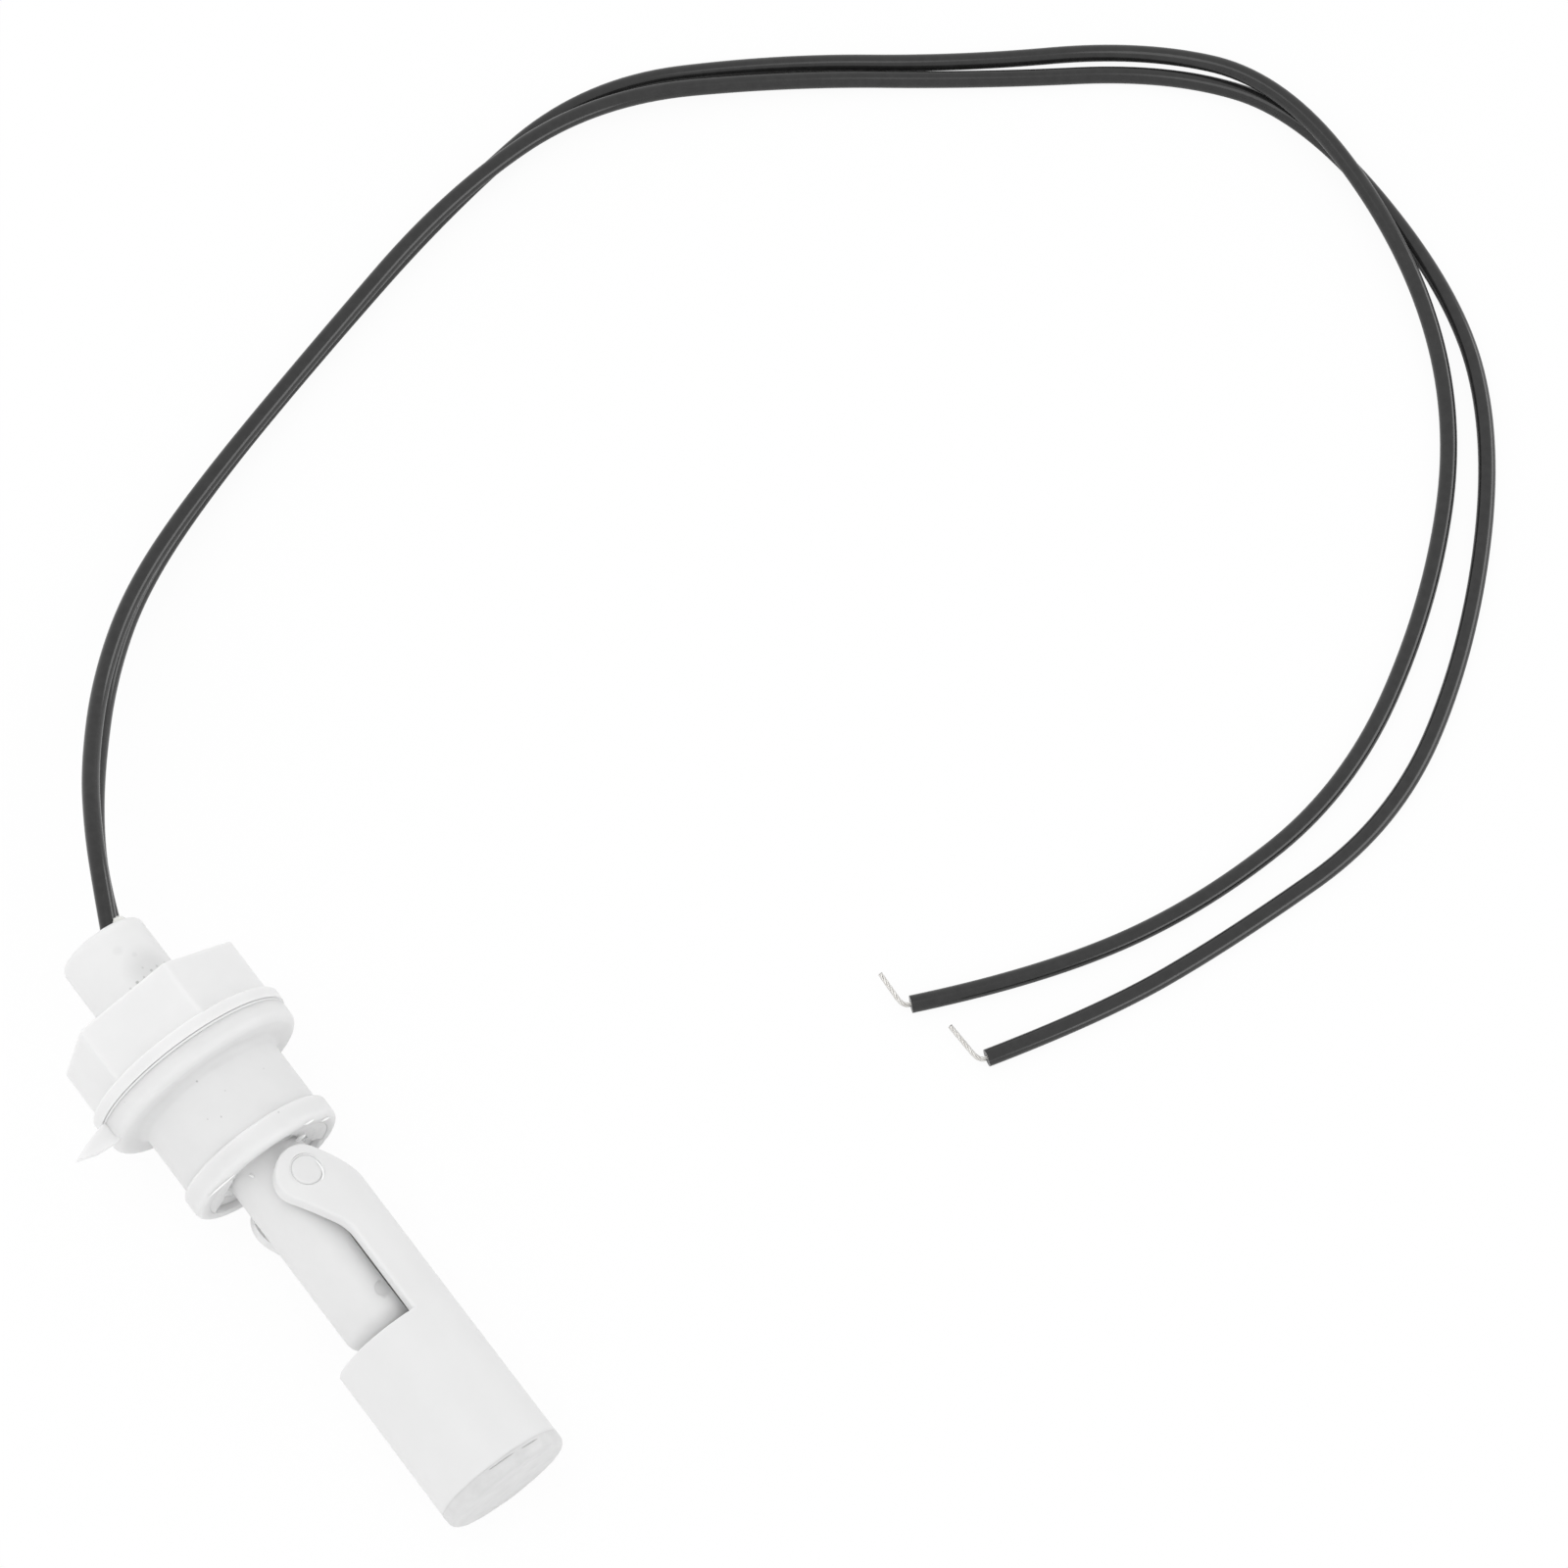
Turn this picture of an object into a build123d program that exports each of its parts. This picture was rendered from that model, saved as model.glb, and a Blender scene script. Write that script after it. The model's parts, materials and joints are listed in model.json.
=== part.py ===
from build123d import *
import math
import os

# A small side-mounted float level switch, lying on a table on the edge of its rim
# and the end of its float, with its two loose wires trailing over the table.
# One moulded housing carries a wire boss, a spanner hexagon, a rim and a hollow stem.
# A silicone grommet sits on the neck of the stem. The float hangs on two stubs of the
# stem by the two ears of its half shell, and a magnet in it works the reed in the stem.
# Millimetres, +Z up, origin on the table under the middle of the switch without wires.

# ---- sizes along the stem: s runs from the back of the rim towards the float
boss_length = 9.75          # wire boss behind the hexagon
hex_length = 7.65           # spanner hexagon
rim_width = 1.6             # disc between hexagon and grommet
neck_length = 14.4          # thicker root of the stem, under the grommet
stem_length = 39.8          # from the rim to the tip of the stem
pivot_s = 19.8              # hinge of the float
tip_gap = 0.7               # from the tip of the stem to the round float
float_length = 20.6         # round hollow float without its cap
cap_thick = 1.5
cap_edge = 0.5              # rounding of the cap's edge

# ---- sizes round the stem
boss_r = 5.6
boss_round = 1.0
cup_wall = 1.0              # wall of the boss round the potting
cup_depth = 13.5
hex_flats = 22.0
hex_corner = 0.7
rim_r = 13.3
neck_r = 6.4
stem_r = 5.1
tip_round = 2.2
mark_s = 35.9               # shallow round mark of the mould near the tip
mark_m = 0.2
mark_r = 1.05
mark_depth = 0.15
reed_bore_r = 2.6
tip_wall = 3.8              # solid end of the stem

# ---- grommet
flange_r = 13.05
flange_width = 3.0
barrel_r = 9.32
rib_r = 10.07
rib_width = 3.1
grommet_length = 15.3
recess_r = 8.3
tail_half = 0.45            # half thickness of the flash tail on the flange

# ---- hinge
stub_r = 1.9
stub_end = 7.95             # from the stem's axis to the end of a stub
stub_edge = 0.3
pad_r = 2.6
pad_end = 5.3
pivot_m = 0.25              # the hinge sits a little towards the shell
ear_r = 3.6
ear_middle = (0.15, -0.2)   # middle of the ear's round end, from the hinge, as s and m
hole_gap = 0.2              # running clearance of a stub in its ear

# ---- float
float_r = 8.1
float_end_r = 8.15          # the moulding widens slightly towards its cap
shell_wall = 1.6            # half shell and ears
shell_round = 0.35          # outer edges of the half shell and ears
round_wall = 1.2            # round hollow float
bulkhead = 1.5
shell_edge = 0.42           # height of the half shell's straight edges over the axis
edge_bend = 5.0
top_slope = 42.0            # slanted back edge of the half shell, in degrees
bottom_slope = 29.5         # lower edge of the arm, from the ear to the straight edge
magnet_r = 3.0
magnet_thick = 3.0
pocket_wall = 1.0

# ---- reed and its leads
glass_r = 1.15
glass_wall = 0.3
glass_length = 13.6
lead_r = 0.3
lead_gap = 0.02
reed_m = 1.25               # the reed lies this far below the axis, its lead above it
lead_length = 4.0           # from the glass to the joints with the wires
lead_out = 0.7              # straight lead before it turns back
lead_clear = 1.15           # from the turned lead to the end of the bore
joint_r = 0.7
joint_length = 3.6
sleeve_r = 0.7

# ---- wires
wire_r = 1.1
core_r = 0.3
strip_in = 7.0              # jacket inside the potting
exit_a = (1.24, 1.35)        # places of the wires on the end of the boss, as m and h
exit_b = (2.48, -0.75)
start_in = 0.7              # the slanted wires are drawn from inside and cut at the face
lump_place = (3.0, 0.42)    # lump of resin beside the wires
lump_r = 1.5
lump_in = 0.6
bare_in = 1.5
core_gap = 0.02

# ---- pose on the table
lean = 16.4                 # turn of the hinge away from upright, in degrees
hex_lean = 14.0             # the same for the hexagon and for the grommet's tail of flash
seat_gap = 0.02             # between pieces that are bonded or pushed together
reach = 30.0                # longer than any cut through the part


os.makedirs("parts", exist_ok=True)

# ---- places
boss_end = -rim_width - hex_length - boss_length
hex_end = -rim_width - hex_length
bore_end = stem_length - tip_wall
step_s = stem_length + tip_gap
float_s = step_s + float_length
cap_end = float_s + cap_thick

# The switch rests on the edge of its rim, or of the flange if that stands out further,
# and on the edge of the float's cap, so its axis dips towards the float.
touch_s, touch_r = max(
    ((0.0, rim_r), (flange_width, flange_r)),
    key=lambda spot: (spot[1] - float_end_r) / (cap_end - spot[0]),
)
dip = math.atan((touch_r - float_end_r) / (cap_end - touch_s))
cos_dip, sin_dip = math.cos(dip), math.sin(dip)
cos_lean, sin_lean = math.cos(math.radians(lean)), math.sin(math.radians(lean))

axis_height = touch_r * cos_dip + touch_s * sin_dip
back_x = (boss_end + boss_round) * cos_dip - (boss_r - boss_round) * sin_dip - boss_round
front_x = (cap_end - cap_edge) * cos_dip + (float_end_r - cap_edge) * sin_dip + cap_edge
tail_reach = 18.6
cos_hex, sin_hex = math.cos(math.radians(hex_lean)), math.sin(math.radians(hex_lean))
left_y = tail_reach * cos_hex + tail_half * sin_hex
right_y = rim_r

along = Vector(cos_dip, 0, -sin_dip)
upright = Vector(sin_dip, 0, cos_dip)
hinge_way = upright * cos_lean + Vector(0, sin_lean, 0)
shell_way = Vector(0, cos_lean, 0) - upright * sin_lean
tail_up = upright * cos_hex + Vector(0, sin_hex, 0)
start = Vector(-(back_x + front_x) / 2, -(right_y - left_y) / 2, axis_height)

# Flat outlines are drawn on this plane: s along the stem, m towards the half shell.
side = Plane(origin=start, x_dir=along, z_dir=hinge_way)
stem_axis = Axis(start, along)


def spot(s, m, h):
    """The point at s along the stem, m towards the shell and h along the hinge."""
    return start + along * s + shell_way * m + hinge_way * h


def across(s, m=0.0, h=0.0):
    """A plane square to the stem at that point, facing the float."""
    return Plane(origin=spot(s, m, h), x_dir=shell_way, z_dir=along)


def beside(s, m, h=0.0):
    """A plane square to the hinge at that point, facing along it."""
    return Plane(origin=spot(s, m, h), x_dir=along, z_dir=hinge_way)


def from_axis(point):
    """How far the point is from the axis of the stem."""
    away = point - start
    return (away - along * away.dot(along)).length


def largest_radii(points):
    """For each inner point, the radius of an arc that takes 0.45 of its shorter run."""
    radii = []
    for before, here, after in zip(points, points[1:], points[2:]):
        arriving = here - before
        leaving = after - here
        half_turn = math.radians(arriving.get_angle(leaving)) / 2
        radii.append(0.45 * min(arriving.length, leaving.length) / math.tan(half_turn))
    return radii


# ---- housing: boss, hexagon, rim, neck, hollow stem and the two stubs of the hinge
with BuildPart() as housing:
    with BuildSketch(side) as turned_outline:
        with BuildLine():
            FilletPolyline(
                (boss_end, 0),
                (boss_end, boss_r),
                (-rim_width, boss_r),
                (-rim_width, rim_r),
                (0, rim_r),
                (0, neck_r),
                (neck_length, neck_r),
                (neck_length, stem_r),
                (stem_length, stem_r),
                (stem_length, 0),
                radius=[0, boss_round, 0, 0.3, 0.15, 0, 0.2, 0.3, tip_round, 0],
                close=True,
            )
        make_face()
    revolve(axis=stem_axis)
    with BuildSketch(across(hex_end)) as hexagon:
        RegularPolygon(hex_flats / 2, 6, major_radius=False, rotation=30 + lean - hex_lean)
        fillet(hexagon.vertices(), hex_corner)
    extrude(amount=hex_length + rim_width / 2)
    hex_back = housing.faces().filter_by(Plane(side.origin, z_dir=along)).sort_by(stem_axis)[1]
    fillet(hex_back.edges(), 0.35)
    with BuildSketch(across(boss_end)):
        Circle(boss_r - cup_wall)
    extrude(amount=cup_depth, mode=Mode.SUBTRACT)
    with BuildSketch(across(boss_end)):
        Circle(reed_bore_r)
    extrude(amount=bore_end - boss_end, mode=Mode.SUBTRACT)
    for way in (1, -1):
        for radius, end in ((pad_r, pad_end), (stub_r, stub_end)):
            with BuildSketch(beside(pivot_s, pivot_m, way * (reed_bore_r + 0.6))):
                Circle(radius)
            extrude(amount=way * (end - reed_bore_r - 0.6))
        stub_face = housing.faces().filter_by(Plane(side.origin, z_dir=hinge_way)).sort_by(
            Axis(start, hinge_way * way)
        )[-1]
        fillet(stub_face.edges(), stub_edge)
    with BuildSketch(beside(mark_s, mark_m, stem_r - mark_depth)):
        Circle(mark_r)
    extrude(amount=1, mode=Mode.SUBTRACT)
housing.part.label = "housing"
export_step(housing.part, "parts/housing.step")


# ---- silicone grommet: flange against the rim, barrel, rib with a shallow recess in its
# front, and a pointed tail of flash that the mould left on the flange
rib_s = grommet_length - rib_width
grommet_bore = neck_r + seat_gap
tail_length = tail_reach - flange_r
with BuildPart() as grommet:
    with BuildSketch(side):
        with BuildLine():
            FilletPolyline(
                (0, grommet_bore),
                (0, flange_r),
                (flange_width, flange_r),
                (flange_width, barrel_r),
                (rib_s, barrel_r),
                (rib_s, rib_r),
                (grommet_length, rib_r),
                (grommet_length, recess_r),
                (neck_length, recess_r),
                (neck_length, grommet_bore),
                radius=[0, 0.3, 1.1, 1.2, 0.2, 0.4, 0.9, 0.2, 0, 0],
                close=True,
            )
        make_face()
    revolve(axis=stem_axis)
    with BuildSketch(Plane(origin=start - tail_up * tail_half, x_dir=along, z_dir=tail_up)):
        with BuildLine():
            Polyline(
                (0.10 * flange_width, -flange_r + 0.6),
                (0.10 * flange_width, -flange_r - 0.10 * tail_length),
                (0.43 * flange_width, -flange_r - 0.62 * tail_length),
                (0.77 * flange_width, -tail_reach),
                (0.97 * flange_width, -flange_r - 0.53 * tail_length),
                (0.98 * flange_width, -flange_r - 0.05 * tail_length),
                (0.88 * flange_width, -flange_r + 0.9),
                close=True,
            )
        make_face()
    extrude(amount=2 * tail_half)
grommet.part.label = "grommet"
export_step(grommet.part, "parts/grommet.step")


# ---- float: half shell with two ears, and the round hollow float in one moulding
inner_r = float_r - shell_wall
hollow_r = float_r - round_wall
hollow_s = step_s + bulkhead
pocket_r = magnet_r + hole_gap
slope = math.radians(top_slope)
rise = math.radians(bottom_slope)
ear_s = pivot_s + ear_middle[0]
ear_m = pivot_m + ear_middle[1]
ear_top = (ear_s - ear_r * math.sin(slope), ear_m + ear_r * math.cos(slope))
ear_foot = (ear_s + ear_r * math.sin(rise), ear_m - ear_r * math.cos(rise))
bend_s = ear_foot[0] + (shell_edge - ear_foot[1]) / math.tan(rise)
above = float_r + 1.2
above_s = ear_top[0] + (above - ear_top[1]) / math.tan(slope)
with BuildPart() as float_shell:
    with BuildSketch(beside(0, 0, -float_r - 1)):
        with BuildLine():
            FilletPolyline(
                ear_foot,
                (bend_s, shell_edge),
                (hollow_s, shell_edge),
                (hollow_s, above),
                (above_s, above),
                ear_top,
                radius=[edge_bend, 0, 0, 0],
            )
            ThreePointArc(ear_top, (ear_s - ear_r, ear_m), ear_foot)
        make_face()
    extrude(amount=2 * (float_r + 1))
    with BuildSketch(side):
        with BuildLine():
            Polyline(
                (0, inner_r), (0, float_r), (hollow_s, float_r), (hollow_s, inner_r), close=True
            )
        make_face()
    revolve(axis=stem_axis, mode=Mode.INTERSECT)
    outer_edges = [
        edge
        for edge in float_shell.edges()
        if from_axis(edge @ 0.5) > float_r - 0.01 and (edge @ 0.5 - start).dot(along) < step_s
    ]
    fillet(outer_edges, shell_round)
    with BuildSketch(side):
        with BuildLine():
            FilletPolyline(
                (step_s, 0),
                (step_s, float_r),
                (float_s, float_end_r),
                (float_s, hollow_r),
                (hollow_s, hollow_r),
                (hollow_s, pocket_r + pocket_wall),
                (hollow_s + magnet_thick, pocket_r + pocket_wall),
                (hollow_s + magnet_thick, pocket_r),
                (hollow_s, pocket_r),
                (hollow_s, 0),
                radius=[0, 0, 0, 0, 0.5, 0.3, 0, 0, 0, 0],
                close=True,
            )
        make_face()
    revolve(axis=stem_axis)
    with BuildSketch(beside(pivot_s, pivot_m, -float_r - 1)):
        Circle(stub_r + hole_gap)
    extrude(amount=2 * (float_r + 1), mode=Mode.SUBTRACT)
float_shell.part.label = "float_shell"
export_step(float_shell.part, "parts/float_shell.step")


# ---- cap welded on the end of the float, with its spigot and the bead of the weld
spigot_r = hollow_r - seat_gap
spigot_wall = 1.0
spigot_depth = 1.6
bead_width = 0.35
bead = 0.09
with BuildPart() as float_cap:
    with BuildSketch(side):
        with BuildLine():
            FilletPolyline(
                (cap_end, 0),
                (cap_end, float_end_r),
                (float_s + bead_width, float_end_r),
                (float_s + bead_width / 2, float_end_r + bead),
                (float_s, float_end_r + bead),
                (float_s, spigot_r),
                (float_s - spigot_depth, spigot_r),
                (float_s - spigot_depth, spigot_r - spigot_wall),
                (float_s, spigot_r - spigot_wall),
                (float_s, 0),
                radius=[0, cap_edge, 0, 0, 0, 0, 0.2, 0.2, 0, 0],
                close=True,
            )
        make_face()
    revolve(axis=stem_axis)
float_cap.part.label = "float_cap"
export_step(float_cap.part, "parts/float_cap.step")


# ---- magnet in the pocket behind the bulkhead
with BuildPart() as magnet:
    with BuildSketch(across(hollow_s)):
        Circle(magnet_r)
    extrude(amount=magnet_thick)
    chamfer(magnet.edges(), 0.15)
magnet.part.label = "magnet"
export_step(magnet.part, "parts/magnet.step")


# ---- reed: two flat blades that overlap in the middle of a sealed glass tube
plug = 2.2
lead_hole = lead_r + lead_gap
turn_s = bore_end - lead_clear - lead_r - reed_m
glass_end = turn_s - lead_out
glass_s = glass_end - glass_length
lead_end = glass_s - lead_length
with BuildPart() as reed_glass:
    with BuildSketch(beside(0, -reed_m)):
        with BuildLine():
            FilletPolyline(
                (glass_s, lead_hole),
                (glass_s, glass_r),
                (glass_end, glass_r),
                (glass_end, lead_hole),
                (glass_end - plug, lead_hole),
                (glass_end - plug, glass_r - glass_wall),
                (glass_s + plug, glass_r - glass_wall),
                (glass_s + plug, lead_hole),
                radius=[0, 0.7, 0.7, 0, 0, 0.3, 0.3, 0],
                close=True,
            )
        make_face()
    revolve(axis=Axis(spot(0, -reed_m, 0), along))
reed_glass.part.label = "reed_glass"
export_step(reed_glass.part, "parts/reed_glass.step")

blade_width = 1.2
blade_thick = 0.2
blade_gap = 0.1
overlap = 1.2
middle_s = glass_s + glass_length / 2
blade_m = (blade_thick + blade_gap) / 2
with BuildPart() as reed_blade_a:
    with BuildSketch(across(lead_end, -reed_m)):
        Circle(lead_r)
    extrude(amount=glass_s + plug - lead_end)
    with BuildSketch(across(glass_s + plug - 0.4, -reed_m - blade_m)):
        Rectangle(blade_thick, 2 * lead_r)
    extrude(amount=1.0)
    with BuildSketch(across(glass_s + plug + 0.6, -reed_m - blade_m)):
        Rectangle(blade_thick, blade_width)
    extrude(amount=middle_s + overlap / 2 - glass_s - plug - 0.6)
reed_blade_a.part.label = "reed_blade_a"
export_step(reed_blade_a.part, "parts/reed_blade_a.step")

# The far lead turns back in the tip of the stem and returns above the glass.
with BuildPart() as reed_blade_b:
    with BuildLine(side):
        Line((glass_end - plug, -reed_m), (turn_s, -reed_m))
        ThreePointArc((turn_s, -reed_m), (turn_s + reed_m, 0), (turn_s, reed_m))
        Line((turn_s, reed_m), (lead_end, reed_m))
    with BuildSketch(across(glass_end - plug, -reed_m)):
        Circle(lead_r)
    sweep()
    with BuildSketch(across(glass_end - plug + 0.4, -reed_m + blade_m)):
        Rectangle(blade_thick, 2 * lead_r)
    extrude(amount=-1.0)
    with BuildSketch(across(glass_end - plug - 0.6, -reed_m + blade_m)):
        Rectangle(blade_thick, blade_width)
    extrude(amount=middle_s - overlap / 2 - glass_end + plug + 0.6)
reed_blade_b.part.label = "reed_blade_b"
export_step(reed_blade_b.part, "parts/reed_blade_b.step")

joint_half = joint_length / 2
with BuildPart() as shrink_sleeve_b:
    with BuildSketch(across(lead_end + joint_half + 0.2, reed_m)):
        Circle(sleeve_r)
        Circle(lead_hole, mode=Mode.SUBTRACT)
    extrude(amount=turn_s - lead_end - joint_half - 0.4)
shrink_sleeve_b.part.label = "shrink_sleeve_b"
export_step(shrink_sleeve_b.part, "parts/shrink_sleeve_b.step")


# ---- ends of the two wires inside the housing: jacket in the potting, bare core to the reed
strip_s = boss_end + strip_in
core_hole = core_r + core_gap
with BuildPart() as tail_a:
    with BuildSketch(across(boss_end, *exit_a)):
        Circle(wire_r)
        Circle(core_hole, mode=Mode.SUBTRACT)
    extrude(amount=strip_in)
tail_a.part.label = "tail_a"
export_step(tail_a.part, "parts/tail_a.step")

with BuildPart() as tail_b:
    with BuildSketch(across(boss_end, *exit_b)):
        Circle(wire_r)
        Circle(core_hole, mode=Mode.SUBTRACT)
    extrude(amount=strip_in)
tail_b.part.label = "tail_b"
export_step(tail_b.part, "parts/tail_b.step")

core_bend = 2.0
bend_in = strip_s + 1.2
bend_out = strip_s + 7.5
with BuildPart() as core_a:
    with BuildLine() as core_a_path:
        FilletPolyline(
            spot(boss_end, *exit_a),
            spot(bend_in, *exit_a),
            spot(bend_out, -reed_m, 0),
            spot(lead_end, -reed_m, 0),
            radius=core_bend,
        )
    with BuildSketch(across(boss_end, *exit_a)):
        Circle(core_r)
    sweep()
core_a.part.label = "core_a"
export_step(core_a.part, "parts/core_a.step")

with BuildPart() as core_b:
    with BuildLine() as core_b_path:
        FilletPolyline(
            spot(boss_end, *exit_b),
            spot(bend_in, *exit_b),
            spot(bend_out, reed_m, 0),
            spot(lead_end, reed_m, 0),
            radius=core_bend,
        )
    with BuildSketch(across(boss_end, *exit_b)):
        Circle(core_r)
    sweep()
core_b.part.label = "core_b"
export_step(core_b.part, "parts/core_b.step")

with BuildPart() as solder_joint_a:
    with BuildSketch(across(lead_end - joint_half, -reed_m)):
        Circle(joint_r)
        Circle(lead_hole, mode=Mode.SUBTRACT)
    extrude(amount=joint_length)
    fillet(solder_joint_a.edges().group_by(SortBy.LENGTH)[-1], 0.3)
solder_joint_a.part.label = "solder_joint_a"
export_step(solder_joint_a.part, "parts/solder_joint_a.step")

with BuildPart() as solder_joint_b:
    with BuildSketch(across(lead_end - joint_half, reed_m)):
        Circle(joint_r)
        Circle(lead_hole, mode=Mode.SUBTRACT)
    extrude(amount=joint_length)
    fillet(solder_joint_b.edges().group_by(SortBy.LENGTH)[-1], 0.3)
solder_joint_b.part.label = "solder_joint_b"
export_step(solder_joint_b.part, "parts/solder_joint_b.step")


# ---- the two loose wires: out of the boss, down to the table, round a wide bight and back
# beside the float, the first over the second near the boss and under it in the bight
wire_a_points = [
    spot(boss_end, *exit_a),
    Vector(-45.3, 6.2, 16.2),
    Vector(-53, 10, 15.3),
    Vector(-61.5, 15, 12.5),
    Vector(-72, 23.5, 8.3),
    Vector(-80.5, 34, 5.8),
    Vector(-87, 48.5, 4.4),
    Vector(-94.5, 71.5, 3.4),
    Vector(-102, 98, 3.7),
    Vector(-102.5, 121.5, 3),
    Vector(-90, 143.5, 1.6),
    Vector(-75, 163, wire_r),
    Vector(-61, 183.5, wire_r),
    Vector(-45.5, 193.5, wire_r),
    Vector(-14.5, 192, wire_r),
    Vector(5, 182.5, wire_r),
    Vector(25, 161.5, wire_r),
    Vector(37.5, 139, wire_r),
    Vector(37, 113.5, wire_r),
    Vector(35, 95, wire_r),
    Vector(31, 80.5, wire_r),
]
wire_b_points = [
    spot(boss_end, *exit_b),
    Vector(-46.6, 6.7, 13.7),
    Vector(-53.5, 10.3, 12.6),
    Vector(-62, 16, 9.6),
    Vector(-73, 25, 5.2),
    Vector(-81.5, 35.5, 2.9),
    Vector(-88.5, 51, 1.5),
    Vector(-95, 71.5, wire_r),
    Vector(-102, 97, wire_r),
    Vector(-105.5, 122, wire_r),
    Vector(-93, 144, wire_r),
    Vector(-78.5, 162.5, wire_r),
    Vector(-66, 182.5, 1.3),
    Vector(-50, 193, 4),
    Vector(-23, 191, 2.7),
    Vector(-0.5, 181, wire_r),
    Vector(17.5, 161.5, wire_r),
    Vector(30.5, 137.5, wire_r),
    Vector(31.5, 113, wire_r),
    Vector(26.5, 91.5, wire_r),
    Vector(20, 77.5, wire_r),
]
wire_a_out = (wire_a_points[1] - wire_a_points[0]).normalized()
wire_b_out = (wire_b_points[1] - wire_b_points[0]).normalized()
wire_a_start = wire_a_points[0] - wire_a_out * start_in
wire_b_start = wire_b_points[0] - wire_b_out * start_in
wire_a_end = wire_a_points[-1]
wire_b_end = wire_b_points[-1]
wire_a_way = (wire_a_end - wire_a_points[-2]).normalized()
wire_b_way = (wire_b_end - wire_b_points[-2]).normalized()

with BuildPart() as wire_a:
    with BuildLine() as wire_a_path:
        FilletPolyline(
            wire_a_start, *wire_a_points[1:], radius=largest_radii(wire_a_points)
        )
    with BuildSketch(Plane(origin=wire_a_start, z_dir=wire_a_out)):
        Circle(wire_r)
    sweep()
    with BuildSketch(across(boss_end)):
        Circle(boss_r)
    extrude(amount=2 * start_in, mode=Mode.SUBTRACT)
    with BuildSketch(Plane(origin=wire_a_end, z_dir=wire_a_way)):
        Circle(core_hole)
    extrude(amount=-bare_in, mode=Mode.SUBTRACT)
wire_a.part.label = "wire_a"
export_step(wire_a.part, "parts/wire_a.step")

with BuildPart() as wire_b:
    with BuildLine() as wire_b_path:
        FilletPolyline(
            wire_b_start, *wire_b_points[1:], radius=largest_radii(wire_b_points)
        )
    with BuildSketch(Plane(origin=wire_b_start, z_dir=wire_b_out)):
        Circle(wire_r)
    sweep()
    with BuildSketch(across(boss_end)):
        Circle(boss_r)
    extrude(amount=2 * start_in, mode=Mode.SUBTRACT)
    with BuildSketch(Plane(origin=wire_b_end, z_dir=wire_b_way)):
        Circle(core_hole)
    extrude(amount=-bare_in, mode=Mode.SUBTRACT)
wire_b.part.label = "wire_b"
export_step(wire_b.part, "parts/wire_b.step")


# ---- potting: fills the boss round both wires, with a lump of resin beside them
with BuildPart() as potting:
    with BuildSketch(across(boss_end)):
        Circle(boss_r - cup_wall - seat_gap)
    extrude(amount=cup_depth)
    with Locations(across(boss_end + lump_in, *lump_place)):
        Sphere(lump_r)
    with BuildSketch(across(boss_end)):
        with Locations(exit_a, exit_b):
            Circle(wire_r + seat_gap)
    extrude(amount=strip_in, mode=Mode.SUBTRACT)
    for begin, way in ((wire_a_start, wire_a_out), (wire_b_start, wire_b_out)):
        with BuildSketch(Plane(origin=begin, z_dir=way)):
            Circle(wire_r + seat_gap)
        extrude(amount=5.0, mode=Mode.SUBTRACT)
    with BuildSketch(across(boss_end, *exit_a)):
        Circle(core_hole)
    sweep(path=core_a_path.wire(), mode=Mode.SUBTRACT)
    with BuildSketch(across(boss_end, *exit_b)):
        Circle(core_hole)
    sweep(path=core_b_path.wire(), mode=Mode.SUBTRACT)
potting.part.label = "potting"
export_step(potting.part, "parts/potting.step")


# ---- stripped ends of the wires: straight out of the jacket, then bent aside
bare_out = 1.0
bare_bend = 0.9
tip_a = Vector(-5.7, 0, 0)
tip_b = Vector(-5.0, 0.4, 0)
with BuildPart() as bare_end_a:
    with BuildLine():
        FilletPolyline(
            wire_a_end - wire_a_way * bare_in,
            wire_a_end + wire_a_way * bare_out,
            wire_a_end + wire_a_way * bare_out + tip_a,
            radius=bare_bend,
        )
    with BuildSketch(Plane(origin=wire_a_end - wire_a_way * bare_in, z_dir=wire_a_way)):
        Circle(core_r)
    sweep()
bare_end_a.part.label = "bare_end_a"
export_step(bare_end_a.part, "parts/bare_end_a.step")

with BuildPart() as bare_end_b:
    with BuildLine():
        FilletPolyline(
            wire_b_end - wire_b_way * bare_in,
            wire_b_end + wire_b_way * bare_out,
            wire_b_end + wire_b_way * bare_out + tip_b,
            radius=bare_bend,
        )
    with BuildSketch(Plane(origin=wire_b_end - wire_b_way * bare_in, z_dir=wire_b_way)):
        Circle(core_r)
    sweep()
bare_end_b.part.label = "bare_end_b"
export_step(bare_end_b.part, "parts/bare_end_b.step")


# ---- bend radii, lengths and volumes of the wires
wires = (
    ("wire_a", wire_a, wire_a_path, wire_a_points),
    ("wire_b", wire_b, wire_b_path, wire_b_points),
)
for name, piece, path, points in wires:
    length = path.wire().length - start_in
    full = math.pi * wire_r**2 * length - math.pi * core_hole**2 * bare_in
    radii = largest_radii(points)
    print(name, "length", round(length, 1), "volume ratio", round(piece.part.volume / full, 4))
    print(name, "bend radii", [round(radius, 1) for radius in radii])
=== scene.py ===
# %% [markdown]
# # A float level switch on a white table
# The switch comes from its CAD model: a white moulded housing with a spanner hexagon,
# a milky silicone grommet, and a float that hangs on two stubs of the stem. This script
# gives each piece its finish, makes the soft and fine pieces anew, and lays the two
# loose wires along the table. Lengths are in metres, unless a title says millimetres.

import json
import math

import bmesh
import bpy
import numpy as np
from mathutils import Matrix, Vector


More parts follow.
